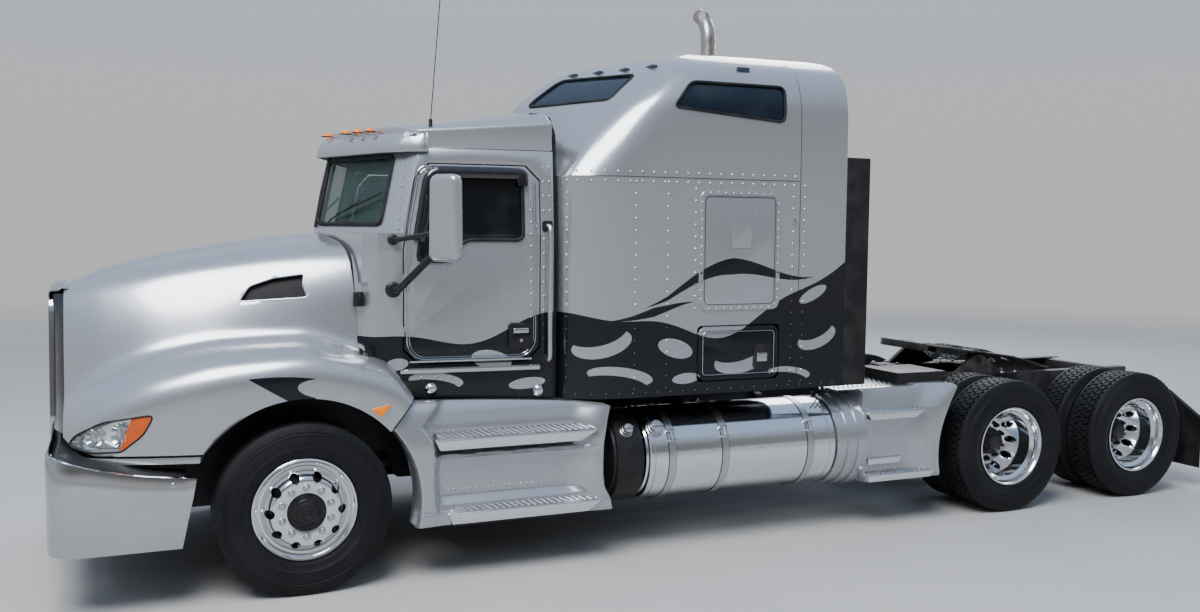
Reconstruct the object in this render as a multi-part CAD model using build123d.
from build123d import *
import math
import os

os.makedirs("parts", exist_ok=True)

# Lengths are in mm. The model is laid out from the front axle, x ahead, y to the left and z up from the
# ground, and is moved at the end so that the origin is at the middle of its length.

# Overall layout
FRONT_OVERHANG = 1380
WHEELBASE = 5260
TANDEM_SPACING = 1320
REAR_OVERHANG = 740
AXLE_X = (WHEELBASE + TANDEM_SPACING + REAR_OVERHANG - FRONT_OVERHANG) / 2
DRIVE_AXLES_X = {"forward": -WHEELBASE, "rear": -WHEELBASE - TANDEM_SPACING}
REAR_X = -WHEELBASE - TANDEM_SPACING - REAR_OVERHANG

# Wheels and tyres
TYRE_R = 505
TYRE_W = 285
TYRE_LIP_R = 302
TYRE_BULGE_R = 410
TREAD_W = 220
TYRE_FLATS = 36
RIM_FLANGE_R = 298.5
BEAD_SEAT_R = 286
RIM_HALF = 118
FLANGE_T = 12
DISC_FACE = 169
DISC_T = 21
PILOT_R = 110
HAND_HOLES = 10
HAND_HOLE_R = 27
HAND_HOLE_PITCH_R = 203
DRUM_R = 205
DRUM_WALL = 14
STEER_TRACK = 2070
DRIVE_TRACK = 1818
AXLE_Z = TYRE_R
SEAT_GAP = 0.3
RUN_FIT = 0.05

# Frame
FRAME_TOP = 940
RAIL_DEPTH = 270
RAIL_FLANGE = 90
RAIL_T = 8
RAIL_Y = 430
RAIL_FRONT = 1050
EAR_T = 12
EAR_END_R = 16
EAR_GAP = 3
RAIL_BOTTOM = FRAME_TOP - RAIL_DEPTH
RAIL_IN = RAIL_Y - RAIL_FLANGE
CROSSMEMBERS = [900, -1700, -2900, -4000, 560 - WHEELBASE, -WHEELBASE - TANDEM_SPACING / 2, REAR_X + 120]
CROSS_L = 70
CROSS_Z = (825, 925)

# Steering
KINGPIN_Y = STEER_TRACK / 2 - 175
KINGPIN_R = 22
BOSS_R = 50
BOSS_H = 150
YOKE_T = 40
YOKE_GAP = 5
SPINDLE_R = 40
STEER_ARM = 200
TIE_PIN_R = 12
TIE_ROD_R = 18
TIE_ROD_Z = 360

# Drive axles
HOUSING_R = 70
HUB_START = 150
DRIVE_SPINDLE_R = 55
BOWL_R = 190
NOSE_R = 90
NOSE_L = 280

# Hood
HOOD_T = 25
GRILLE_FACE = 1335
HOOD_LOW = 880
HOOD_FRONT_LOW = 950
HOOD_REAR_MID = -205
HOOD_REAR_SIDE = -360
HINGE_X = 1300
HINGE_Z = 930
HINGE_PIN_R = 10
HINGE_Y = 370
HINGE_T = 20
ARCH_R = 650
# x, half width low down, half width at the shoulder, shoulder height, crown height
HOOD_SECTIONS = [
    (GRILLE_FACE, 560, 400, 1650, 1757),
    (1180, 640, 440, 1725, 1828),
    (600, 790, 560, 1880, 1992),
    (-100, 870, 660, 1975, 2090),
    (-420, 900, 700, 1995, 2118),
]
# x, outer half width, height of the outer edge, half width at the crease, height of the crease
FENDER_SECTIONS = [
    (1290, 760, 945, 560, 1020),
    (1200, 900, 1010, 620, 1165),
    (1050, 1000, 1090, 680, 1270),
    (750, 1100, 1200, 760, 1387),
    (400, 1165, 1290, 830, 1445),
    (0, 1185, 1325, 860, 1460),
    (-350, 1185, 1260, 890, 1370),
    (-520, 1185, 1180, 900, 1300),
    (-640, 1185, 1100, 905, 1130),
]
FENDER_LOW = 800
HEADLIGHT = [(1238, 915), (1180, 985), (1050, 1055), (800, 1092), (835, 1000), (965, 885), (1130, 880)]
HEADLIGHT_DEPTH = 60
# y half width and height of the grille opening's corners
GRILLE_BOTTOM = (470, 990)
GRILLE_TOP = (290, 1700)
GRILLE_EDGE = 28
GRILLE_SLATS = 18
SLAT_H = 10
GRILLE_POSTS = [-200, 0, 200]
POST_W = 12
VENT = [(315, 1688), (255, 1775), (120, 1823), (-62, 1848), (-50, 1780), (-72, 1710)]
VENT_DEPTH = 15

# Bumper
BUMPER_T = 6
BUMPER_CORNER_R = 190
BUMPER_BOW = 40
BUMPER_Y = 1165
BUMPER_TOP = 900
BUMPER_LOW = 350
# y and z of each opening's corners, left of the middle
BUMPER_HOLES = [(620, 880, 500, 640), (300, 420, 480, 620)]
BUMPER_SLOT = (-240, 240, 470, 600)

# Cab
CAB_LOW = 1050
FLOOR_T = 50
WALL = 40
CAB_REAR = -1570
NOSE_LOW = 1800
SHELF_Z = 2100
HEADER_Z = 2620
# middle x, corner x, corner y, side x, side y, back y
FIREWALL_PLAN = (-400, -400, 860, -470, 940, 1020)
NOSE_PLAN = (-235, -382, 880, -470, 940, 1020)
SCREEN_PLAN = (-237, -530, 850, -615, 946, 1020)
HEADER_PLAN = (-347, -640, 800, -735, 905, 985)
DOOR_FRONT = -617
DOOR_REAR = -1486
DOOR_LOW = 1293
DOOR_TOP = 2530
DOOR_GAP = 8
DOOR_WINDOW = [(-705, 1930), (-905, 1930), (-1000, 2062), (-1370, 2062), (-1370, 2488), (-800, 2488)]
SCREEN = [(30, 2150), (790, 2150), (760, 2575), (30, 2575)]
GLASS_IN = 15
GLASS_T = 6
BARREL_R = 7
BARREL_H = 30
BARREL_PIN_R = 4
HINGE_HEIGHTS = [1500, 1820]
# x, eave half width, eave height, shoulder half width, shoulder height, crown height
CAB_ROOF_SECTIONS = [
    (-300, 900, 2670, 760, 2715, 2750),
    (-900, 940, 2690, 850, 2775, 2825),
    (CAB_REAR, 985, 2740, 880, 2862, 2935),
]
DOORWAY_Y = 450
DOORWAY_Z = 2450
SEAL_T = 30

# Sleeper
SLEEPER_FRONT = CAB_REAR - SEAL_T
SLEEPER_REAR = -3300
FAIRING_REAR = -3680
EXTENDER_L = 200
EXTENDER_TOP = 2645
SLEEPER_SPLIT = 2470
# height, middle x, corner x, corner y, bulge x, bulge y, side x, side y, back y
SLEEPER_LEVELS = [
    (SLEEPER_SPLIT, SLEEPER_FRONT, SLEEPER_FRONT, 1010, -1740, 1125, -1950, 1190, 1190),
    (2930, -1630, -2000, 960, -2080, 1090, -2230, 1180, 1184),
    (3130, -1830, -2230, 900, -2300, 1030, -2420, 1125, 1140),
    (3260, -2060, -2420, 780, -2480, 880, -2580, 985, 1010),
    (3350, -2380, -2600, 520, -2640, 600, -2700, 700, 740),
    (3400, -2700, -2760, 180, -2780, 220, -2800, 260, 300),
]
SKYLIGHT = [(120, 2985), (860, 2985), (790, 3170), (120, 3190)]
SIDE_WINDOW = [(-2475, 3100), (-3180, 3100), (-3165, 2860), (-2330, 2925)]
LUGGAGE_FRONT = -2518
LUGGAGE_L = 636
LUGGAGE_REAR = LUGGAGE_FRONT - LUGGAGE_L
LUGGAGE_LOW = 1130
LUGGAGE_TOP = 1504
LUGGAGE_HINGES = [1220, 1420]
HATCH_FRONT = -2524
HATCH_L = 621
HATCH_LOW = 1600
HATCH_TOP = 2395
HATCH_RIM = 34
HATCH_RISE = 8

# Tanks, steps and the rear
TANK_R = 311
TANK_Y = 870
TANK_LOW = 315
TANK_FRONT = -1950
TANK_REAR = -3670
TANK_STRAPS = [-2050, -2290, -2760, -3440]
STRAP_W = 50
STRAP_T = 5
# x and radius of each filler neck
FILLERS = [(-2255, 50), (-2050, 36)]
FILLER_H = 50
FILLER_ANGLE = 39
STEP_Y = 1220
STEP_IN = 700
STEP_FACE = 15
STEP_COLUMN = 130
STEP_WING = 180
COLLAR_L = 80
COLLAR_T = 28
REAR_STEP_FRONT = TANK_REAR - 20
REAR_ARCH_R = 700
STACK_X = -3800
STACK_Y = -1050
STACK_R = 63.5
STACK_WALL = 3
STACK_BEND_R = 250
STACK_BEND_Z = 3790
STACK_TURN = 70
STACK_LOW = 1040
STACK_OPEN = 3200
FLAP_Y = 1220
FLAP_IN = 620
FLAP_LOW = 180
FLAP_T = 10
HANGER_R = 14

# Fifth wheel
FIFTH_X = -WHEELBASE - 340
FIFTH_Z = 1075
FIFTH_TILT = 8
FIFTH_RISE = 65
FIFTH_HALF = 457
FIFTH_PIN_R = 18
FIFTH_PLATE_T = 14
KINGPIN_BORE_R = 25.6

LOW = (Align.CENTER, Align.CENTER, Align.MIN)


def block(x0, x1, y0, y1, z0, z1):
    return Pos((x0 + x1) / 2, (y0 + y1) / 2, (z0 + z1) / 2) * Box(abs(x1 - x0), abs(y1 - y0), abs(z1 - z0))


def side_prism(points, y0, y1):
    """A prism whose outline is given in side view, as x and z."""
    outline = Polyline(*[(x, y0, z) for x, z in points], close=True)
    return extrude(make_face(outline), amount=y1 - y0, dir=(0, 1, 0))


def plan_prism(points, z0, z1):
    outline = Polyline(*[(x, y, z0) for x, y in points], close=True)
    return extrude(make_face(outline), amount=z1 - z0, dir=(0, 0, 1))


def front_prism(points, x0, x1):
    """A prism whose outline is given in front view, as y and z."""
    outline = Polyline(*[(x0, y, z) for y, z in points], close=True)
    return extrude(make_face(outline), amount=x1 - x0, dir=(1, 0, 0))


def rod(start, end, radius):
    start, end = Vector(start), Vector(end)
    return Plane(origin=start, z_dir=end - start) * Cylinder(radius, (end - start).length, align=LOW)


def across(shape):
    return mirror(shape, about=Plane.XZ)


def both(shape):
    return [shape, across(shape)]


def both_ways(points):
    """A half outline from the middle plane out, closed over the other side."""
    return points + [(x, -y) for x, y in reversed(points) if y > 0]


def turned(profile):
    """A ring about the y axis from its profile, given as radius and y."""
    return revolve(make_face(Polyline(*profile, close=True)), axis=Axis.Y)


def save(name, solids):
    solids = solids if isinstance(solids, list) else [solids]
    flat = [s for item in solids for s in item.solids()]
    export_step(Pos(AXLE_X, 0, 0) * Compound(children=flat), f"parts/{name}.step")


def chassis_frame():
    parts = None
    for side in (1, -1):
        web = block(REAR_X, RAIL_FRONT, side * (RAIL_Y - RAIL_T), side * RAIL_Y, RAIL_BOTTOM, FRAME_TOP)
        top = block(REAR_X, RAIL_FRONT, side * RAIL_IN, side * RAIL_Y, FRAME_TOP - RAIL_T, FRAME_TOP)
        low = block(REAR_X, RAIL_FRONT, side * RAIL_IN, side * RAIL_Y, RAIL_BOTTOM, RAIL_BOTTOM + RAIL_T)
        ear_out = HINGE_Y - HINGE_T / 2 - EAR_GAP
        ear_in = ear_out - EAR_T
        ear = side_prism(
            [(RAIL_FRONT + 60, FRAME_TOP - 1), (RAIL_FRONT - 120, FRAME_TOP - 1),
             (RAIL_FRONT - 120, RAIL_BOTTOM + RAIL_T / 2), (RAIL_FRONT, RAIL_BOTTOM + RAIL_T / 2),
             (HINGE_X, HINGE_Z - EAR_END_R), (HINGE_X, HINGE_Z)], side * ear_in, side * ear_out)
        ear = ear + rod((HINGE_X, side * ear_in, HINGE_Z), (HINGE_X, side * ear_out, HINGE_Z), EAR_END_R)
        pin = rod((HINGE_X, side * (ear_in + EAR_T / 2), HINGE_Z),
                  (HINGE_X, side * (HINGE_Y + HINGE_T / 2 + 5), HINGE_Z), HINGE_PIN_R)
        for piece in (web, top, low, ear, pin):
            parts = piece if parts is None else parts + piece
    for x in CROSSMEMBERS:
        outer = block(x - CROSS_L / 2, x + CROSS_L / 2, 1 - RAIL_Y + RAIL_T / 2, RAIL_Y - RAIL_T / 2 - 1,
                      *CROSS_Z)
        parts = parts + outer
    return parts


def bumper_plan(inset):
    """The bumper's outline seen from above, as a closed face at its lower edge."""
    y = BUMPER_Y - inset
    front = FRONT_OVERHANG - inset
    corner = BUMPER_CORNER_R - inset
    bow = BUMPER_BOW
    line = (
        Line((0, -y), (front - bow - corner, -y))
        + RadiusArc((front - bow - corner, -y), (front - bow, -y + corner), -corner)
        + ThreePointArc((front - bow, -y + corner), (front, 0), (front - bow, y - corner))
        + RadiusArc((front - bow, y - corner), (front - bow - corner, y), -corner)
        + Line((front - bow - corner, y), (0, y))
        + Line((0, y), (0, -y))
    )
    return make_face(line)


def front_bumper():
    height = BUMPER_TOP - BUMPER_LOW
    outer = Pos(0, 0, BUMPER_LOW) * extrude(bumper_plan(0), amount=height)
    inner = Pos(0, 0, BUMPER_LOW - 1) * extrude(bumper_plan(BUMPER_T), amount=height + 2)
    keep = side_prism(
        [(667, BUMPER_LOW), (584, 745), (GRILLE_FACE - 60, BUMPER_TOP), (FRONT_OVERHANG + 5, BUMPER_TOP),
         (FRONT_OVERHANG + 5, BUMPER_LOW)], -BUMPER_Y - 5, BUMPER_Y + 5)
    shell = (outer - inner) & keep
    for side in (1, -1):
        arm = block(RAIL_FRONT - 150, FRONT_OVERHANG, side * RAIL_Y, side * (RAIL_Y + 15), 690, 850)
        shell = shell + (arm & outer)
    for y0, y1, z0, z1 in BUMPER_HOLES:
        hole = block(RAIL_FRONT, FRONT_OVERHANG + 5, y0, y1, z0, z1)
        shell = shell - hole - across(hole)
    return shell - block(RAIL_FRONT, FRONT_OVERHANG + 5, *BUMPER_SLOT)


def engine_block():
    body = block(-330, 850, -330, 330, 600, 1700) + block(-1500, -330, -220, 220, 560, 1000)
    for x in (500, -200):
        for side in (1, -1):
            body = body + block(x - 50, x + 50, side * 300, side * (RAIL_Y - 10), FRAME_TOP, FRAME_TOP + 40)
    return body


def radiator():
    return block(960, 1080, -RAIL_Y, RAIL_Y, FRAME_TOP, 1660)


def front_axle():
    beam = block(-55, 55, -KINGPIN_Y + 40, KINGPIN_Y - 40, 330, 430)
    for side in (1, -1):
        knee = block(-45, 45, side * (KINGPIN_Y - 110), side * KINGPIN_Y, 380, AXLE_Z + BOSS_H / 2 - 20)
        boss = Pos(0, side * KINGPIN_Y, AXLE_Z) * Cylinder(BOSS_R, BOSS_H)
        beam = beam + knee + boss
        clear = AXLE_Z - BOSS_H / 2
        beam = beam - block(-60, 60, side * (KINGPIN_Y - 75), side * (KINGPIN_Y + 60), 300, clear)
        beam = beam - Pos(0, side * KINGPIN_Y, AXLE_Z) * Cylinder(KINGPIN_R + RUN_FIT, BOSS_H + 10)
        y0, y1 = side * (RAIL_IN + 5), side * (RAIL_Y - 5)
        leaves = side_prism(
            [(740, 600), (400, 480), (0, 440), (-400, 480), (-740, 600), (-740, 645), (-400, 535), (0, 500),
             (400, 535), (740, 645)], y0, y1)
        seat = block(-60, 60, y0, y1, 420, 460)
        hangers = [block(x - 45, x + 45, y0, y1, 590, RAIL_BOTTOM) for x in (720, -720)]
        beam = beam + leaves + seat + hangers[0] + hangers[1]
    return beam


def knuckle(side):
    top = AXLE_Z + BOSS_H / 2 + YOKE_GAP
    low = AXLE_Z - BOSS_H / 2 - YOKE_GAP
    y_plate = KINGPIN_Y + BOSS_R + YOKE_GAP
    part = block(-55, 55, y_plate, y_plate + 30, low - YOKE_T, top + YOKE_T)
    for z0 in (top, low - YOKE_T):
        cheek = Pos(0, KINGPIN_Y, z0) * Cylinder(BOSS_R, YOKE_T, align=LOW)
        part = part + cheek + block(-BOSS_R, BOSS_R, KINGPIN_Y, y_plate + 5, z0, z0 + YOKE_T)
    part = part + Pos(0, KINGPIN_Y, low - YOKE_T) * Cylinder(KINGPIN_R, top - low + 2 * YOKE_T, align=LOW)
    part = part + rod((0, y_plate, AXLE_Z), (0, STEER_TRACK / 2 + 120, AXLE_Z), SPINDLE_R)
    part = part + block(-STEER_ARM, 0, KINGPIN_Y - 15, KINGPIN_Y + 15, low - YOKE_T, low)
    part = part + Pos(-STEER_ARM, KINGPIN_Y, low - YOKE_T) * Cylinder(24, YOKE_T, align=LOW)
    pin_low = TIE_ROD_Z - 22
    part = part + Pos(-STEER_ARM, KINGPIN_Y, pin_low) * Cylinder(TIE_PIN_R, low - pin_low, align=LOW)
    return part if side > 0 else across(part)


def tie_rod():
    part = rod((-STEER_ARM, -KINGPIN_Y, TIE_ROD_Z), (-STEER_ARM, KINGPIN_Y, TIE_ROD_Z), TIE_ROD_R)
    for side, slack in ((1, RUN_FIT), (-1, 1)):
        part = part + Pos(-STEER_ARM, side * KINGPIN_Y, TIE_ROD_Z) * Cylinder(24, 42)
        part = part - Pos(-STEER_ARM, side * KINGPIN_Y, TIE_ROD_Z) * Cylinder(TIE_PIN_R + slack, 60)
    return part


def tyre_ring(radius, y):
    """The corners of a many-sided ring about the y axis. Its flats lie at the radius, one at the bottom."""
    corner = radius / math.cos(math.pi / TYRE_FLATS)
    angles = [math.radians(-90 + (i + 0.5) * 360 / TYRE_FLATS) for i in range(TYRE_FLATS)]
    return [(corner * math.cos(a), y, corner * math.sin(a)) for a in angles]


def tyre():
    """A tyre about the y axis. All its faces are plane, so its mesh stays light."""
    bead = RIM_HALF - FLANGE_T - SEAT_GAP
    side = [(BEAD_SEAT_R + SEAT_GAP, bead), (TYRE_LIP_R, bead), (TYRE_BULGE_R, TYRE_W / 2),
            (TYRE_R, TREAD_W / 2)]
    rings = [tyre_ring(r, y) for r, y in side + [(r, -y) for r, y in reversed(side)]]
    faces = []
    for one, other in zip(rings, rings[1:] + rings[:1]):
        for i in range(TYRE_FLATS):
            corners = [one[i - 1], one[i], other[i], other[i - 1]]
            faces.append(make_face(Polyline(*corners, close=True)).face())
    return Solid(Shell(faces))


def rim():
    """A disc wheel about the y axis, its rim's middle at y 0 and its disc towards +y."""
    drop_r = BEAD_SEAT_R - 30
    wall = 9
    flange_in = RIM_HALF - FLANGE_T
    back = DISC_FACE - DISC_T
    ring = turned([
        (RIM_FLANGE_R, -RIM_HALF), (RIM_FLANGE_R, -flange_in), (BEAD_SEAT_R, -flange_in),
        (BEAD_SEAT_R - 3, -62),
        (drop_r, -44), (drop_r, 20), (BEAD_SEAT_R - 3, 44), (BEAD_SEAT_R, flange_in),
        (RIM_FLANGE_R, flange_in),
        (RIM_FLANGE_R, RIM_HALF), (RIM_FLANGE_R - 11, RIM_HALF), (BEAD_SEAT_R - 11, flange_in - 2), (262, 80),
        (233, 108), (206, 152), (184, DISC_FACE), (PILOT_R, DISC_FACE), (PILOT_R, back), (177, back),
        (193, 137),
        (216, 96), (240, 66), (drop_r - wall, 50), (drop_r - wall, -50), (BEAD_SEAT_R - 12, -70),
        (BEAD_SEAT_R - 9, -flange_in + 2), (RIM_FLANGE_R - 11, -RIM_HALF),
    ])
    hole = rod((HAND_HOLE_PITCH_R, 60, 0), (HAND_HOLE_PITCH_R, 200, 0), HAND_HOLE_R)
    for i in range(HAND_HOLES):
        ring = ring - Rot(0, i * 360 / HAND_HOLES, 0) * hole
    return ring


def steer_wheel_metal():
    """Rim, drum and hub of a front wheel, about the y axis with the rim's middle at y 0."""
    back = DISC_FACE - DISC_T
    bore = SPINDLE_R + RUN_FIT
    hub = turned([(bore, -70), (95, -70), (95, 60), (DRUM_R - DRUM_WALL, 60), (DRUM_R - DRUM_WALL, -80),
                  (DRUM_R, -80), (DRUM_R, 76), (165, 90), (165, back), (PILOT_R, back),
                  (PILOT_R, DISC_FACE + 4),
                  (86, DISC_FACE + 8), (84, 205), (60, 212), (0, 212), (0, 130), (bore, 130)])
    return rim() + hub


def drive_wheel_metal():
    """Both rims, the drum and the hub of a dual wheel, with the mounting plane at y 0."""
    inner = Pos(0, -DISC_FACE, 0) * rim()
    outer = mirror(inner, about=Plane.XZ)
    bore = DRIVE_SPINDLE_R + RUN_FIT
    hub = turned([(bore, -HUB_START), (115, -HUB_START), (115, -110), (DRUM_R - DRUM_WALL, -110),
                  (DRUM_R - DRUM_WALL, -270), (DRUM_R, -270), (DRUM_R, -92), (165, -80), (165, -DISC_T),
                  (PILOT_R, -DISC_T), (PILOT_R, DISC_T + 6), (104, DISC_T + 40), (90, 100), (60, 112),
                  (0, 112),
                  (0, 70), (bore, 70)])
    return inner + outer + hub


def drive_axle(x):
    tube_end = DRIVE_TRACK / 2 - HUB_START - YOKE_GAP
    tube = rod((x, -tube_end, AXLE_Z), (x, tube_end, AXLE_Z), HOUSING_R)
    spindles = rod((x, -DRIVE_TRACK / 2 - 50, AXLE_Z), (x, DRIVE_TRACK / 2 + 50, AXLE_Z), DRIVE_SPINDLE_R)
    part = tube + spindles + Pos(x, 0, AXLE_Z) * Sphere(BOWL_R)
    part = part + rod((x, 0, AXLE_Z), (x + NOSE_L, 0, AXLE_Z), NOSE_R)
    part = part + rod((x - BOWL_R - 40, 0, AXLE_Z), (x, 0, AXLE_Z), NOSE_R)
    for side in (1, -1):
        y0, y1 = side * (RAIL_IN + 5), side * (RAIL_Y - 5)
        arm = side_prism([(x + 480, 420), (x + 100, 370), (x - 420, 370), (x - 420, 420), (x - 100, 460),
                          (x + 100, 460), (x + 480, 490)], y0, y1)
        hanger = block(x + 400, x + 500, y0, y1, 420, RAIL_BOTTOM)
        bag = Pos(x - 320, side * (RAIL_IN + RAIL_Y) / 2, 400) * Cylinder(110, RAIL_BOTTOM - 400, align=LOW)
        part = part + arm + hanger + bag
    return part


def driveshafts():
    main = (
        rod((-1500, 0, 760), (-1600, 0, 760), 60)
        + rod((-1570, 0, 760), (-WHEELBASE + NOSE_L + 60, 0, AXLE_Z), 50)
        + rod((-WHEELBASE + NOSE_L, 0, AXLE_Z), (-WHEELBASE + NOSE_L + 90, 0, AXLE_Z), 60)
    )
    between = rod((-WHEELBASE - BOWL_R - 40, 0, AXLE_Z), (DRIVE_AXLES_X["rear"] + NOSE_L, 0, AXLE_Z), 50)
    return [main, between]


def crown_section(x, low, y_low, z_side, y_side, z_sh, y_sh, z_crown):
    """A closed outline across the truck: straight sides, a sloping shoulder and an arched crown."""
    line = (
        Polyline((x, -y_sh, z_sh), (x, -y_side, z_side), (x, -y_low, low), (x, y_low, low),
                 (x, y_side, z_side),
                 (x, y_sh, z_sh))
        + ThreePointArc((x, y_sh, z_sh), (x, 0, z_crown), (x, -y_sh, z_sh))
    )
    return make_face(line)


def hood_body(inset, low):
    sections = []
    for x, y_low, y_sh, z_sh, z_crown in HOOD_SECTIONS:
        if x == GRILLE_FACE:
            x = x - inset
        z_side = z_sh - 160
        y_side = y_sh + 75
        sections.append(crown_section(x, low, y_low - inset, z_side, y_side - inset, z_sh - inset,
                                      y_sh - inset,
                                      z_crown - inset))
    return loft(sections, ruled=True)


def fender_body(inset, low):
    sections = []
    for x, y_out, z_out, y_in, z_in in FENDER_SECTIONS:
        if x == FENDER_SECTIONS[0][0]:
            x = x - inset
        line = Polyline((x, 300, low), (x, y_out - inset, low), (x, y_out - inset, z_out - inset),
                        (x, y_in - inset, z_in - inset), (x, 300, z_in - inset), close=True)
        sections.append(make_face(line))
    return loft(sections, ruled=True)


def headlight_prism():
    return side_prism(HEADLIGHT, 600, 1250)


def grille_outline():
    (y0, z0), (y1, z1) = GRILLE_BOTTOM, GRILLE_TOP
    return [(-y0, z0), (y0, z0), (y1, z1), (-y1, z1)]


def hood():
    fender = fender_body(0, FENDER_LOW)
    fender_in = fender_body(HOOD_T, FENDER_LOW - 60)
    shell = hood_body(0, HOOD_LOW) + fender + across(fender)
    shell = shell - hood_body(HOOD_T, HOOD_LOW - 60) - fender_in - across(fender_in)
    shell = shell - rod((0, -1300, AXLE_Z), (0, 1300, AXLE_Z), ARCH_R)
    behind = [(HOOD_REAR_MID, 0), (HOOD_REAR_SIDE, 905), (-450, 952), (-900, 990)]
    shell = shell - plan_prism(both_ways(behind), 700, 2300)
    tail = [(-470, 700), (-470, 905), (-500, 945), (-632, 1112), (-800, 1140), (-800, 700)]
    nose = [(540, 700), (540, 800), (1120, 868), (1240, HOOD_FRONT_LOW), (1400, HOOD_FRONT_LOW), (1400, 700)]
    shell = shell - side_prism(tail, -1300, 1300) - side_prism(nose, -1300, 1300)
    shell = shell - front_prism(grille_outline(), GRILLE_FACE - 100, GRILLE_FACE + 50)
    vent = side_prism(VENT, 600, 1000) - hood_body(VENT_DEPTH, HOOD_LOW - 60)
    for cut in both(headlight_prism()) + both(vent):
        shell = shell - cut
    for side in (1, -1):
        y0, y1 = side * (HINGE_Y - HINGE_T / 2), side * (HINGE_Y + HINGE_T / 2)
        arm = block(HINGE_X - 18, GRILLE_FACE - 5, y0, y1, HINGE_Z, GRILLE_BOTTOM[1])
        eye = rod((HINGE_X, y0, HINGE_Z), (HINGE_X, y1, HINGE_Z), 18)
        bore = rod((HINGE_X, y0 - 5 * side, HINGE_Z), (HINGE_X, y1 + 5 * side, HINGE_Z),
                   HINGE_PIN_R + RUN_FIT)
        shell = shell + arm + eye - bore
    return shell


def grille():
    """The surround with level slats across it and a few posts that tie them together."""
    depth = 45
    outer = front_prism(grille_outline(), GRILLE_FACE - depth, GRILLE_FACE + 15)
    (y0, z0), (y1, z1) = GRILLE_BOTTOM, GRILLE_TOP
    edge = GRILLE_EDGE
    inner = [(-y0 + edge, z0 + edge), (y0 - edge, z0 + edge), (y1 - edge, z1 - edge), (-y1 + edge, z1 - edge)]
    frame = outer - front_prism(inner, GRILLE_FACE - depth - 5, GRILLE_FACE + 20)
    pitch = (z1 - z0 - 2 * edge) / (GRILLE_SLATS + 1)
    for i in range(1, GRILLE_SLATS + 1):
        z = z0 + edge + i * pitch
        frame = frame + (block(GRILLE_FACE - 22, GRILLE_FACE, -y0, y0, z - SLAT_H / 2,
                               z + SLAT_H / 2) & outer)
    for y in GRILLE_POSTS:
        frame = frame + block(GRILLE_FACE - 32, GRILLE_FACE - 12, y - POST_W / 2, y + POST_W / 2, z0 + 5,
                              z1 - 5)
    return frame


def headlights():
    lens = (fender_body(0, FENDER_LOW) - fender_body(HEADLIGHT_DEPTH, FENDER_LOW - 60)) & headlight_prism()
    return both(lens)


def plan_points(plan, inset):
    """A cab outline seen from above, from the middle of its front round to its back, moved in by inset."""
    x_mid, x_corner, y_corner, x_side, y_side, y_back = plan
    back = CAB_REAR + (inset if inset else 0)
    half = [(x_mid - inset, 0), (x_corner - inset, y_corner - inset), (x_side - inset, y_side - inset),
            (back, y_back - inset)]
    return both_ways(half)


def cab_body(inset):
    """The cab below its roof, solid through. With an inset it is the space that far inside."""
    floor = CAB_LOW + (FLOOR_T if inset else 0)
    shelf = SHELF_Z - inset
    body = plan_prism(plan_points(FIREWALL_PLAN, inset), floor, shelf)
    body = body + plan_prism(plan_points(NOSE_PLAN, inset), NOSE_LOW + inset, shelf)
    if inset:
        body = body + plan_prism(plan_points(SCREEN_PLAN, inset), shelf, SHELF_Z)
    low = make_face(Polyline(*[(x, y, SHELF_Z) for x, y in plan_points(SCREEN_PLAN, inset)], close=True))
    top = make_face(Polyline(*[(x, y, HEADER_Z) for x, y in plan_points(HEADER_PLAN, inset)], close=True))
    return body + loft([low, top], ruled=True)


def door_outline(gap):
    """The doorway in side view. The door itself is smaller all round by the gap."""
    front, rear = DOOR_FRONT - gap, DOOR_REAR + gap
    low, top = DOOR_LOW + gap, DOOR_TOP - gap
    cut = 90
    return [(front, low + cut), (front, 2000), (front - 78, top - cut), (front - 78 - cut, top),
            (rear + cut, top), (rear, top - cut), (rear, low + cut), (rear + cut, low), (front - cut, low)]


def hinge_line():
    """Where the door's hinge axis stands, in plan: in the middle of the front gap, at the outer skin."""
    x = DOOR_FRONT - DOOR_GAP / 2
    _, _, _, x_side, y_side, y_back = FIREWALL_PLAN
    y = y_side + (x_side - x) / (x_side - CAB_REAR) * (y_back - y_side)
    return x, y


def barrels(x, y, heights):
    """What a barrel hinge adds to and cuts from the fixed and the moving side."""
    fixed, fixed_cut, moving, moving_cut = [], [], [], []
    for z in heights:
        fixed.append(Pos(x, y, z - BARREL_H) * Cylinder(BARREL_R, BARREL_H, align=LOW))
        fixed.append(Pos(x, y, z - 5) * Cylinder(BARREL_PIN_R, BARREL_H + 5, align=LOW))
        moving_cut.append(Pos(x, y, z - BARREL_H - 6) * Cylinder(BARREL_R + 6, BARREL_H + 6, align=LOW))
        moving.append(Pos(x, y, z + 0.5) * (Cylinder(BARREL_R, BARREL_H, align=LOW)))
        fixed_cut.append(Pos(x, y, z) * Cylinder(BARREL_R + 6, BARREL_H + 6, align=LOW))
    bore = [Pos(x, y, z - 5) * Cylinder(BARREL_PIN_R + RUN_FIT, BARREL_H + 50, align=LOW) for z in heights]
    return fixed, fixed_cut, moving, moving_cut, bore


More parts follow.
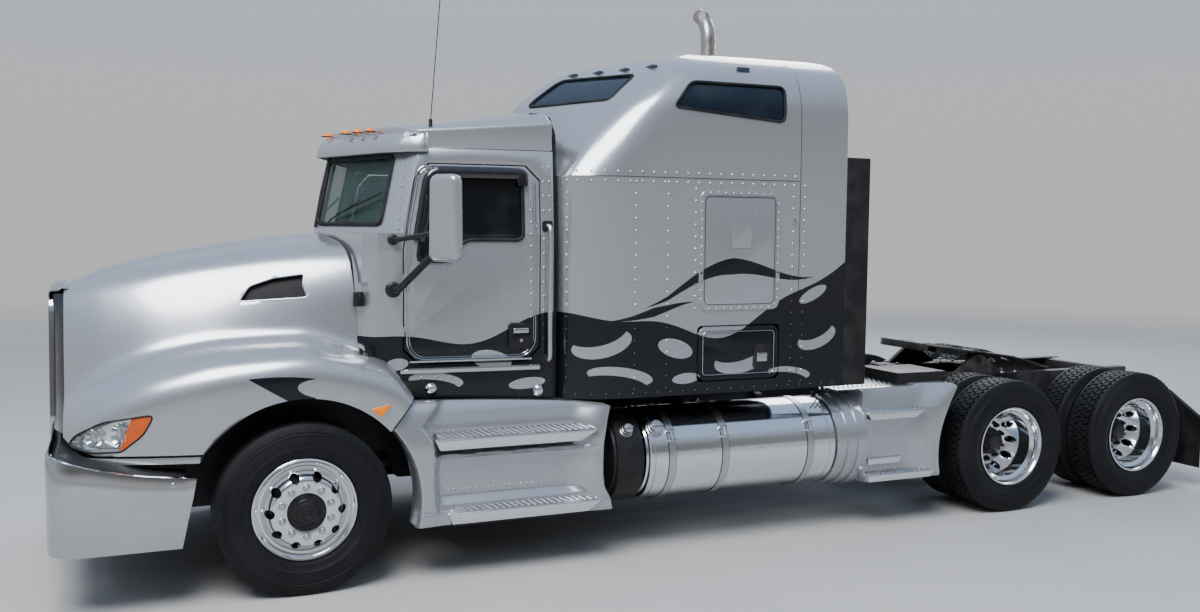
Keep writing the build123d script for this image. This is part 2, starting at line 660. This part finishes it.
def cab_shell():
    shell = cab_body(0) - cab_body(WALL)
    doorway = side_prism(door_outline(0), 700, 1200)
    shell = shell - doorway - across(doorway)
    shell = shell - block(CAB_REAR - 5, CAB_REAR + WALL + 5, -DOORWAY_Y, DOORWAY_Y, CAB_LOW + FLOOR_T,
                          DOORWAY_Z)
    pane = front_prism(SCREEN, -850, 0)
    shell = shell - pane - across(pane)
    fixed, fixed_cut, _, _, _ = barrels(*hinge_line(), HINGE_HEIGHTS)
    for piece in fixed_cut:
        shell = shell - piece - across(piece)
    for piece in fixed:
        shell = shell + piece + across(piece)
    for side in (1, -1):
        shell = shell + block(-540, -460, side * (RAIL_IN + 5), side * (RAIL_Y - 5), FRAME_TOP, CAB_LOW + 1)
    return shell


def door():
    body = (cab_body(0) - cab_body(WALL)) & side_prism(door_outline(DOOR_GAP), 700, 1200)
    body = body - side_prism(DOOR_WINDOW, 700, 1200)
    _, _, moving, moving_cut, bore = barrels(*hinge_line(), HINGE_HEIGHTS)
    for piece in moving_cut:
        body = body - piece
    for piece in moving:
        body = body + piece
    for piece in bore:
        body = body - piece
    return body


def door_glass():
    sheet = cab_body(GLASS_IN) - cab_body(GLASS_IN + GLASS_T)
    return sheet & side_prism(DOOR_WINDOW, 700, 1200)


def windshield():
    sheet = cab_body(GLASS_IN) - cab_body(GLASS_IN + GLASS_T)
    return both(sheet & front_prism(SCREEN, -850, 0))


def cab_roof_body(inset):
    sections = []
    for x, y_eave, z_eave, y_sh, z_sh, z_crown in CAB_ROOF_SECTIONS:
        sections.append(crown_section(x, HEADER_Z, y_eave + 100, z_eave - inset, y_eave + 100, z_sh - inset,
                                      y_sh - inset, z_crown - inset))
    return loft(sections, ruled=True) & plan_prism(plan_points(HEADER_PLAN, inset), HEADER_Z, 3000)


def cab_roof():
    rear_wall = block(CAB_REAR, CAB_REAR + WALL, -1000, 1000, HEADER_Z, 3000) & cab_roof_body(0)
    return cab_roof_body(0) - cab_roof_body(WALL) + rear_wall


def sun_visor():
    x_mid, x_corner, y_corner, x_side, y_side, _ = HEADER_PLAN
    reach = 75
    band = [(x_mid + reach, 0), (x_corner + reach, y_corner + 10), (x_side + 20, y_side + 12),
            (x_side - 50, y_side + 18), (x_side - 50, y_side + 6), (x_side + 1, y_side + 1),
            (x_corner + 1, y_corner + 1), (x_mid + 1, 0)]
    half = band[:5]
    ring = plan_prism(half + [(x_side - 50, 0)], 2585, 2720)
    ring = ring + across(ring)
    tip = x_mid + reach + 5
    top = side_prism([(tip, 2650), (tip, 2580), (-900, 2580), (-900, 2790)], -1000, 1000)
    body = (ring & top) - plan_prism(plan_points(HEADER_PLAN, 0), 2500, 2800) - cab_body(0)
    hollow = plan_prism([(x - 14, max(0, y - 12)) for x, y in half] + [(x_side - 50, 0)], 2500, 2625)
    return body - hollow - across(hollow) - block(-2000, x_side - 60, -1200, 1200, 2500, 2800)


def cab_seal():
    """The rubber ring that joins the cab's back to the sleeper."""
    outer = [(1005, CAB_LOW), (1005, 2100), (972, HEADER_Z), (965, 2730), (865, 2848), (450, 2905), (0, 2920)]
    inner = [(945, CAB_LOW + 60), (945, 2100), (915, 2600), (900, 2700), (810, 2795), (420, 2845), (0, 2860)]
    rings = []
    for outline in (outer, inner):
        points = outline + [(-y, z) for y, z in reversed(outline) if y > 0]
        rings.append(front_prism(points, SLEEPER_FRONT, CAB_REAR))
    return rings[0] - rings[1]


def sleeper_level(row, inset, top):
    z, x_mid, x_c, y_c, x_b, y_b, x_s, y_s, y_back = row
    half = [(x_mid - inset, 0), (x_c - inset, y_c - inset), (x_b - inset, y_b - inset),
            (x_s - inset, y_s - inset),
            (FAIRING_REAR, y_back - inset)]
    height = z - inset if top else z
    return height, both_ways(half)


def sleeper_body(inset):
    """The sleeper, its roof and the fairing behind it, solid through, or the space inside by an inset."""
    faces = []
    for row in SLEEPER_LEVELS:
        height, points = sleeper_level(row, inset, row is SLEEPER_LEVELS[-1])
        faces.append(make_face(Polyline(*[(x, y, height) for x, y in points], close=True)))
    _, points = sleeper_level(SLEEPER_LEVELS[0], inset, False)
    floor = CAB_LOW + (FLOOR_T if inset else 0)
    return plan_prism(points, floor, SLEEPER_SPLIT) + loft(faces, ruled=True)


def luggage_outline(gap):
    front, rear = LUGGAGE_FRONT - gap, LUGGAGE_REAR + gap
    low, top = LUGGAGE_LOW + gap, LUGGAGE_TOP - gap
    cut = 40
    return [(front, low + cut), (front, top - cut), (front - cut, top), (rear + cut, top), (rear, top - cut),
            (rear, low + cut), (rear + cut, low), (front - cut, low)]


def hatch_rim():
    """The raised frame round the upper hatch on the sleeper's side."""
    side = SLEEPER_LEVELS[0][7]
    rear = HATCH_FRONT - HATCH_L
    rim = HATCH_RIM
    frame = block(rear, HATCH_FRONT, side - 5, side + HATCH_RISE, HATCH_LOW, HATCH_TOP)
    return frame - block(rear + rim, HATCH_FRONT - rim, side - 10, side + 50, HATCH_LOW + rim,
                         HATCH_TOP - rim)


def luggage_hinge():
    return LUGGAGE_FRONT - DOOR_GAP / 2, SLEEPER_LEVELS[0][7]


def sleeper_pieces():
    """The lower body, the roof and the rear fairing."""
    outer = sleeper_body(0)
    shell = outer - sleeper_body(WALL)
    wall = block(SLEEPER_REAR, SLEEPER_REAR + WALL, -1300, 1300, CAB_LOW, 3500) & outer
    low_zone = block(SLEEPER_REAR, 0, -1300, 1300, 0, SLEEPER_SPLIT)
    top_zone = block(SLEEPER_REAR, 0, -1300, 1300, SLEEPER_SPLIT, 3600)
    lower = (shell & low_zone) + (wall & low_zone)
    roof = (shell & top_zone) + (wall & top_zone)
    fairing = shell & block(FAIRING_REAR, SLEEPER_REAR, -1300, 1300, 0, 3600)
    fairing = fairing - block(FAIRING_REAR - 5, SLEEPER_REAR + 5, -1150, 1150, 1000, 1200)
    lower = lower - block(SLEEPER_FRONT - WALL - 5, SLEEPER_FRONT + 5, -DOORWAY_Y, DOORWAY_Y,
                          CAB_LOW + FLOOR_T,
                          DOORWAY_Z)
    hatch = side_prism(luggage_outline(0), 1100, 1300)
    lower = lower - hatch - across(hatch)
    fixed, fixed_cut, _, _, _ = barrels(*luggage_hinge(), LUGGAGE_HINGES)
    for piece in fixed_cut:
        lower = lower - piece - across(piece)
    for piece in fixed:
        lower = lower + piece + across(piece)
    for side in (1, -1):
        lower = lower + block(SLEEPER_REAR + 60, SLEEPER_REAR + 160, side * (RAIL_IN + 5),
                              side * (RAIL_Y - 5),
                              FRAME_TOP, CAB_LOW + 1)
    lower = lower + hatch_rim() + across(hatch_rim())
    sky = front_prism(SKYLIGHT, -2700, -1500)
    pane = side_prism(SIDE_WINDOW, 900, 1300)
    for cut in both(sky) + both(pane):
        roof = roof - cut
    return lower, roof, fairing


def sleeper_glass():
    sheet = sleeper_body(GLASS_IN) - sleeper_body(GLASS_IN + GLASS_T)
    sky = sheet & front_prism(SKYLIGHT, -2700, -1500)
    pane = sheet & side_prism(SIDE_WINDOW, 900, 1300)
    return both(sky) + both(pane)


def luggage_door():
    shell = sleeper_body(0) - sleeper_body(WALL)
    body = shell & side_prism(luggage_outline(DOOR_GAP), 1100, 1300)
    _, _, moving, moving_cut, bore = barrels(*luggage_hinge(), LUGGAGE_HINGES)
    for piece in moving_cut:
        body = body - piece
    for piece in moving:
        body = body + piece
    for piece in bore:
        body = body - piece
    return body


def extenders():
    x0, x1 = FAIRING_REAR - EXTENDER_L, FAIRING_REAR
    side = SLEEPER_LEVELS[0][7]
    return both(block(x0, x1, side - 30, side, CAB_LOW, EXTENDER_TOP))


def step_fairing(x_front, x_rear, upper, lower, top, low):
    """A side fairing with two treads, extruded along the truck."""
    wall = STEP_Y - 90
    section = [(STEP_IN, low), (STEP_Y, low), (STEP_Y, lower), (wall, lower + 8), (wall - 10, upper - 45),
               (STEP_Y - 15, upper - 30), (STEP_Y - 15, upper), (wall - 15, upper + 6), (wall - 40, top - 45),
               (wall - 70, top), (1040, top), (1040, CAB_LOW - 15), (STEP_IN, CAB_LOW - 15)]
    return front_prism(section, x_rear, x_front)


def side_steps():
    """The fairing below the cab, with a column round the wheel arch and a wing at its rear end."""
    x_front, x_rear, low, top = -470, -1930, 340, 1088
    face = STEP_Y - STEP_FACE
    arch = ARCH_R + 10
    part = step_fairing(x_front, x_rear, 865, 410, top, low)
    column = rod((0, STEP_IN, AXLE_Z), (0, face, AXLE_Z), arch + STEP_COLUMN)
    part = part + (column & block(x_rear, x_front, STEP_IN, STEP_Y, low, top))
    part = part + plan_prism([(x_rear, STEP_IN), (x_rear, face), (x_rear + STEP_WING * 0.3, face),
                              (x_rear + STEP_WING, face - 90), (x_rear + STEP_WING, STEP_IN)], low, top)
    part = part - rod((0, 600, AXLE_Z), (0, 1300, AXLE_Z), arch)
    above = [(-460, 1200), (-460, 885), (-620, 1090), (-1550, CAB_LOW - 8), (-1940, 995), (-1940, 1200)]
    part = part - side_prism(above, 600, 1300)
    for x in (-900, -1600):
        part = part + block(x - 40, x + 40, RAIL_Y, STEP_IN + 10, 720, 800)
    return both(part)


def rear_steps():
    """The fairing behind the tank, with a collar that carries on the tank's round."""
    top = 1020
    wall = STEP_Y - 60
    section = [(560, 330), (STEP_Y, 330), (STEP_Y, 385), (wall, 395), (wall, 800), (STEP_Y, 815),
               (STEP_Y, 840),
               (wall, 848), (wall - 20, top), (560, top)]
    axle = DRIVE_AXLES_X["forward"]
    z = TANK_LOW + TANK_R
    part = front_prism(section, axle + 500, REAR_STEP_FRONT)
    part = part + rod((REAR_STEP_FRONT - COLLAR_L, TANK_Y, z), (REAR_STEP_FRONT, TANK_Y, z),
                      TANK_R + COLLAR_T)
    part = part - rod((axle, 500, AXLE_Z), (axle, 1300, AXLE_Z), REAR_ARCH_R)
    for x in (REAR_STEP_FRONT - 160, axle + 960):
        part = part + block(x - 40, x + 40, RAIL_Y, 570, 720, 800)
    return both(part)


def fuel_tank():
    z = TANK_LOW + TANK_R
    part = rod((TANK_REAR, TANK_Y, z), (TANK_FRONT, TANK_Y, z), TANK_R)
    for x in TANK_STRAPS:
        part = part + rod((x - STRAP_W / 2, TANK_Y, z), (x + STRAP_W / 2, TANK_Y, z), TANK_R + STRAP_T)
    out = Vector(0, 1, 0).rotate(Axis.X, FILLER_ANGLE)
    for x, radius in FILLERS:
        middle = Vector(x, TANK_Y, z)
        part = part + rod(middle + out * (TANK_R - FILLER_H), middle + out * (TANK_R + FILLER_H), radius)
    for x in TANK_STRAPS[2:]:
        part = part + block(x - STRAP_W / 2, x + STRAP_W / 2, RAIL_Y, TANK_Y - 120, 690, 920)
        part = part + block(x - STRAP_W / 2, x + STRAP_W / 2, RAIL_Y, TANK_Y, TANK_LOW - STRAP_T - 10,
                            TANK_LOW + 40)
        part = part + block(x - STRAP_W / 2, x + STRAP_W / 2, RAIL_Y, RAIL_Y + 60, TANK_LOW - 15, 900)
    return part


def exhaust_stack():
    """A vertical pipe on a post behind the sleeper, its end turned outward."""
    pieces = []
    for radius, start in ((STACK_R, STACK_LOW), (STACK_R - STACK_WALL, STACK_OPEN)):
        pipe = rod((STACK_X, STACK_Y, start), (STACK_X, STACK_Y, STACK_BEND_Z), radius)
        disc = Pos(STACK_X, STACK_Y, STACK_BEND_Z) * Circle(radius)
        axis = Axis((STACK_X, STACK_Y - STACK_BEND_R, STACK_BEND_Z), (1, 0, 0))
        turn = revolve(disc, axis=axis, revolution_arc=STACK_TURN)
        pieces.append(pipe + turn)
    post = block(STACK_X - 30, STACK_X + 30, -RAIL_Y + 5, -RAIL_IN - 5, FRAME_TOP, 1110)
    arm = block(STACK_X - 30, STACK_X + 30, STACK_Y, -RAIL_IN - 5, 1060, 1110)
    return pieces[0] + post + arm - pieces[1]


def mirror_assembly():
    """One outside mirror: the head, turned towards the driver, and its two arms from the cowl."""
    centre = (-760, 1420)
    head = Box(70, 220, 500)
    head = fillet(head.edges().filter_by(Axis.Z), 28)
    head = fillet(head.faces().sort_by(Axis.Z)[-1].edges() + head.faces().sort_by(Axis.Z)[0].edges(), 24)
    head = Pos(*centre, 2190) * Rot(0, 0, 36) * head
    y_wall = 938
    upper = rod((-565, y_wall, 2060), (-565, 1000, 2060), 32) + rod((-570, 990, 2060), (-735, 1380, 2110), 14)
    lower = rod((-545, y_wall, 1757), (-545, 1000, 1757), 36) + rod((-550, 990, 1757), (-735, 1380, 2020), 18)
    mount = plan_prism(plan_points(FIREWALL_PLAN, 0), 1500, SHELF_Z)
    return head + upper + lower - mount - cab_body(0)


def antenna():
    foot = (-815, 860)
    low = rod((foot[0], foot[1], 2700), (foot[0], foot[1], 2800), 12)
    whip = rod((foot[0], foot[1], 2790), (foot[0] - 90, foot[1], 3890), 3)
    return low + whip - cab_roof_body(0)


def grab_handles():
    y = 1075
    bar = rod((-1528, y, 1300), (-1528, y, 2150), 16)
    for z in (1310, 2140):
        bar = bar + rod((-1528, 980, z), (-1528, y, z), 12)
    return both(bar - cab_body(0))


def dashboard():
    profile = [(-560, 1560), (-560, 2010), (-700, 2050), (-880, 1960), (-900, 1800), (-840, 1560)]
    part = side_prism(profile, -880, 880)
    part = part + block(-560, FIREWALL_PLAN[0] - WALL, -600, 600, 1600, 1760)
    return part - steering_column(0.3)


def steering_column(extra):
    return rod((-760, 450, 1700), (-1010, 450, 1800), 35 + extra)


def steering_wheel():
    centre = Vector(-1010, 450, 1800)
    tilt = Plane(origin=centre, z_dir=Vector(-250, 0, 100))
    ring = tilt * Torus(215, 16)
    part = steering_column(0) + tilt * Cylinder(45, 40) + ring
    for angle in (0, 120, 240):
        spoke = tilt * (Rot(0, 0, angle + 90) * (Pos(110, 0, 0) * Box(220, 30, 14)))
        part = part + spoke
    return part


def seat(y):
    floor = CAB_LOW + FLOOR_T
    width = 500
    part = block(-1450, -1130, y - 180, y + 180, floor, 1420)
    part = part + block(-1480, -1020, y - width / 2, y + width / 2, 1400, 1540)
    back = side_prism([(-1380, 1500), (-1480, 1500), (-1525, 2080), (-1445, 2080)], y - width / 2,
                      y + width / 2)
    head = side_prism([(-1450, 2060), (-1525, 2060), (-1525, 2250), (-1460, 2250)], y - 140, y + 140)
    return part + back + head


def bunk():
    floor = CAB_LOW + FLOOR_T
    half = SLEEPER_LEVELS[0][7] - WALL - 5
    top = block(SLEEPER_REAR + WALL, -2450, -half, half, 1560, 1730)
    return top + block(-2475, -2450, -half, half, floor, 1570)


def fifth_wheel_base():
    part = block(FIFTH_X - 420, FIFTH_X + 420, -RAIL_Y - 40, RAIL_Y + 40, FRAME_TOP, FRAME_TOP + 14)
    part = part - block(FIFTH_X - 300, FIFTH_X + 300, -250, 250, FRAME_TOP - 5, FRAME_TOP + 20)
    for side in (1, -1):
        y0, y1 = side * 400, side * 445
        ear = side_prism([(FIFTH_X - 260, FRAME_TOP + 10), (FIFTH_X + 260, FRAME_TOP + 10),
                          (FIFTH_X + 60, FIFTH_Z + 20), (FIFTH_X + 30, FIFTH_Z + 38),
                          (FIFTH_X - 30, FIFTH_Z + 38),
                          (FIFTH_X - 60, FIFTH_Z + 20)], y0, y1)
        bore = rod((FIFTH_X, y0 - side * 5, FIFTH_Z), (FIFTH_X, y1 + side * 5, FIFTH_Z),
                   FIFTH_PIN_R + RUN_FIT)
        part = part + ear - bore
    return part


def fifth_wheel_plate():
    """The tilting top plate, drawn level about its pivot and then tipped back to rest."""
    z1 = FIFTH_RISE
    z0 = z1 - FIFTH_PLATE_T
    half = FIFTH_HALF
    outline = [(500, 0), (500, 200), (420, 330), (250, half), (-250, half), (-430, 400), (-430, 0)]
    part = plan_prism(both_ways(outline), z0, z1)
    part = part + plan_prism(both_ways([(500, 0), (500, 200), (420, 330), (250, 380), (-300, 380),
                                        (-300, 0)]),
                             z1 - 60, z1)
    ramp = side_prism([(-425, z0), (-425, z1), (-860, 14), (-860, 2)], 90, 385)
    part = part + ramp + across(ramp)
    throat = plan_prism(both_ways([(-170, 0), (-170, 30), (-435, 95), (-435, 0)]), -20, z1 + 5)
    part = part - throat - block(-300, -170, -75, 75, z1 - 61, z1 - 30)
    part = part - block(-170, 430, 110, 345, z1 - 65, z0) - block(-170, 430, -345, -110, z1 - 65, z0)
    part = part - Cylinder(KINGPIN_BORE_R, 300)
    for side in (1, -1):
        lug = block(-60, 60, side * 355, side * 395, -25, z0 + 1)
        pin = rod((0, side * 360, 0), (0, side * 455, 0), FIFTH_PIN_R)
        part = part + lug + pin
    return Pos(FIFTH_X, 0, FIFTH_Z) * Rot(0, -FIFTH_TILT, 0) * part


def mud_flaps():
    x = REAR_X + 20
    outline = [(FLAP_IN, FLAP_LOW), (FLAP_Y, FLAP_LOW), (FLAP_Y, 590), (905, 780), (FLAP_IN, 780)]
    part = front_prism(outline, x - FLAP_T / 2, x + FLAP_T / 2)
    part = part + rod((x, RAIL_Y, 785), (x, 905, 785), HANGER_R) + rod((x, 905, 785), (x, FLAP_Y, 595),
                                                                       HANGER_R)
    return both(part + Pos(x, 905, 785) * Sphere(HANGER_R))


def build():
    save("frame", chassis_frame())
    save("front_bumper", front_bumper())
    save("engine_block", engine_block())
    save("radiator", radiator())
    save("front_axle", front_axle())
    save("drive_axles", [drive_axle(x) for x in DRIVE_AXLES_X.values()])
    save("driveshafts", driveshafts())
    save("hood", hood())
    save("grille", grille())
    save("headlights", headlights())
    save("cab_shell", cab_shell())
    save("cab_roof", cab_roof())
    save("cab_seal", cab_seal())
    save("windshield", windshield())
    save("sun_visor", sun_visor())
    lower, roof, fairing = sleeper_pieces()
    save("sleeper_shell", lower)
    save("sleeper_roof", roof)
    save("rear_fairing", fairing)
    save("sleeper_glass", sleeper_glass())
    save("side_extenders", extenders())
    save("side_steps", side_steps())
    save("rear_steps", rear_steps())
    save("fuel_tanks", both(fuel_tank()))
    save("exhaust_stack", exhaust_stack())
    save("mirrors", both(mirror_assembly()))
    save("antenna", antenna())
    save("grab_handles", grab_handles())
    save("dashboard", dashboard())
    save("steering_wheel", steering_wheel())
    save("seats", [seat(450), seat(-450)])
    save("bunk", bunk())
    save("fifth_wheel_base", fifth_wheel_base())
    save("fifth_wheel_plate", fifth_wheel_plate())
    save("mud_flaps", mud_flaps())
    save("tie_rod", tie_rod())
    leaf, pane, hatch = door(), door_glass(), luggage_door()
    front_metal, dual_metal, rubber = steer_wheel_metal(), drive_wheel_metal(), tyre()
    twin_rubber = [Pos(0, y, 0) * rubber for y in (-DISC_FACE, DISC_FACE)]
    for name, side in (("left", 1), ("right", -1)):
        def hand(shape):
            return shape if side > 0 else across(shape)

        save(f"knuckle_{name}", knuckle(side))
        save(f"door_{name}", hand(leaf))
        save(f"door_glass_{name}", hand(pane))
        save(f"luggage_door_{name}", hand(hatch))
        steer_spot = Pos(0, STEER_TRACK / 2, AXLE_Z)
        save(f"wheel_front_{name}", hand(steer_spot * front_metal))
        save(f"tyre_front_{name}", hand(steer_spot * rubber))
        for place, x in DRIVE_AXLES_X.items():
            spot = Pos(x, DRIVE_TRACK / 2, AXLE_Z)
            save(f"wheels_{place}_{name}", hand(spot * dual_metal))
            save(f"tyres_{place}_{name}", [hand(spot * t) for t in twin_rubber])


build()
